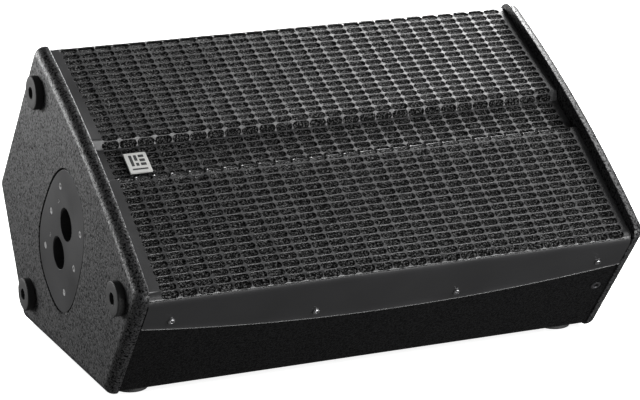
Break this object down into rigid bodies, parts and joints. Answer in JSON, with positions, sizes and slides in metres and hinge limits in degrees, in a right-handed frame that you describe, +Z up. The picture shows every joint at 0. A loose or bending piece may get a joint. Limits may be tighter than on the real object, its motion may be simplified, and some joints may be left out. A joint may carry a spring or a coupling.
{
  "type": "stage monitor wedge",
  "caption": "Wedge-shaped powered stage loudspeaker with curved end panels, a stepped perforated steel grille, a two-angle pole socket plate and rubber feet.",
  "frame": {"origin": "under the middle of the whole object, on the plane that the floor feet stand on", "axes": "+X along the cabinet's length, from the pole-socket end to the plain end; +Z up; the grille faces -Y and up"},
  "size_m": [0.6086, 0.458, 0.342],
  "materials": {
    "cabinet_paint": "textured black structure paint on birch plywood, fine orange-peel grain",
    "bare_wood": "black-stained plywood",
    "wadding": "off-white polyester wadding",
    "rubber": "matte black moulded rubber",
    "grille_steel": "semi-gloss black powder coat on perforated steel",
    "foam": "black open-cell acoustic foam",
    "screw_steel": "dark zinc-plated steel",
    "badge_paint": "white enamel on a thin aluminium plate",
    "satin_plastic": "satin dark grey moulded plastic",
    "cast_alloy": "black-coated cast aluminium",
    "ferrite": "black ferrite and steel plates",
    "paper_cone": "black treated paper pulp",
    "copper": "lacquered copper winding",
    "surround_rubber": "treated cloth and rubber surround",
    "spider_cloth": "resin-dipped corrugated cloth",
    "horn_plastic": "matte black moulded plastic",
    "amp_paint": "fine-textured black powder coat on aluminium",
    "black_plastic": "black moulded plastic",
    "satin_metal": "satin nickel",
    "grey_plastic": "light grey moulded plastic",
    "led_lens": "clear green lens",
    "red_plastic": "glossy red moulded plastic",
    "aluminium": "extruded natural aluminium",
    "circuit_board": "green solder mask on glass-epoxy board"
  },
  "bodies": {
    "cabinet": {"acoustic_wadding": "wadding", "amp_circuit_board": "circuit_board", "amp_heatsink": "aluminium", "amp_panel": "amp_paint", "badge_plate": "badge_paint", "compression_driver": "ferrite", "end_foot_1": "rubber", "end_foot_2": "rubber", "end_foot_3": "rubber", "end_panel_left": "cabinet_paint", "end_panel_right": "cabinet_paint", "floor_foot_1": "rubber", "floor_foot_2": "rubber", "floor_foot_3": "rubber", "floor_foot_4": "rubber", "floor_side_panel": "cabinet_paint", "front_baffle": "bare_wood", "grille": "grille_steel", "grille_foam": "foam", "grille_screw_1": "screw_steel", "grille_screw_2": "screw_steel", "grille_screw_3": "screw_steel", "grille_screw_4": "screw_steel", "handle_bar": "satin_plastic", "handle_cup": "satin_plastic", "horn_flare": "horn_plastic", "input_socket": "black_plastic", "internal_brace": "bare_wood", "link_socket": "black_plastic", "lower_front_panel": "cabinet_paint", "mains_inlet": "black_plastic", "pole_plate": "satin_plastic", "pole_plate_screw_1": "screw_steel", "pole_plate_screw_2": "screw_steel", "pole_plate_screw_3": "screw_steel", "pole_plate_screw_4": "screw_steel", "pole_plate_screw_5": "screw_steel", "pole_plate_screw_6": "screw_steel", "port_tube_1": "horn_plastic", "port_tube_2": "horn_plastic", "power_switch_frame": "black_plastic", "power_transformer": "copper", "rear_panel": "cabinet_paint", "rigging_insert": "screw_steel", "status_led": "led_lens", "upper_side_panel": "cabinet_paint", "woofer_basket": "cast_alloy", "woofer_magnet": "ferrite", "woofer_spider": "spider_cloth", "woofer_surround": "surround_rubber"},
    "cone_assembly": {"woofer_cone": "paper_cone", "woofer_voice_coil": "copper", "woofer_dust_cap": "paper_cone"},
    "latch_tab": {"input_latch_tab": "satin_metal"},
    "gain_knob_body": {"gain_knob": "black_plastic"},
    "level_knob_body": {"level_knob": "black_plastic"},
    "mode_button_body": {"mode_button": "grey_plastic"},
    "power_rocker_body": {"power_switch_rocker": "red_plastic"}
  },
  "joints": [
    {"name": "cone_travel", "type": "slide", "parent": "cabinet", "child": "cone_assembly", "axis": [0, -0.5313, 0.8472], "range_m": [-0.005, 0.005], "stiffness_N_per_m": 3000, "deforming": ["woofer_surround", "woofer_spider"]},
    {"name": "latch_press", "type": "slide", "parent": "cabinet", "child": "latch_tab", "axis": [0, -0.8878, 0.4602], "range_m": [0, 0.001], "stiffness_N_per_m": 1000},
    {"name": "gain_turn", "type": "hinge", "parent": "cabinet", "child": "gain_knob_body", "pos_m": [-0.05075, 0.1961, 0.10822], "axis": [0, 0.8878, -0.4602], "range_deg": [-150, 150]},
    {"name": "level_turn", "type": "hinge", "parent": "cabinet", "child": "level_knob_body", "pos_m": [-0.05075, 0.18045, 0.07803], "axis": [0, 0.8878, -0.4602], "range_deg": [-150, 150]},
    {"name": "mode_press", "type": "slide", "parent": "cabinet", "child": "mode_button_body", "axis": [0, -0.8878, 0.4602], "range_m": [0, 0.002], "stiffness_N_per_m": 500},
    {"name": "power_rock", "type": "hinge", "parent": "cabinet", "child": "power_rocker_body", "pos_m": [-0.11775, 0.17046, 0.06744], "axis": [-1, 0, 0], "range_deg": [0, 16]}
  ]
}
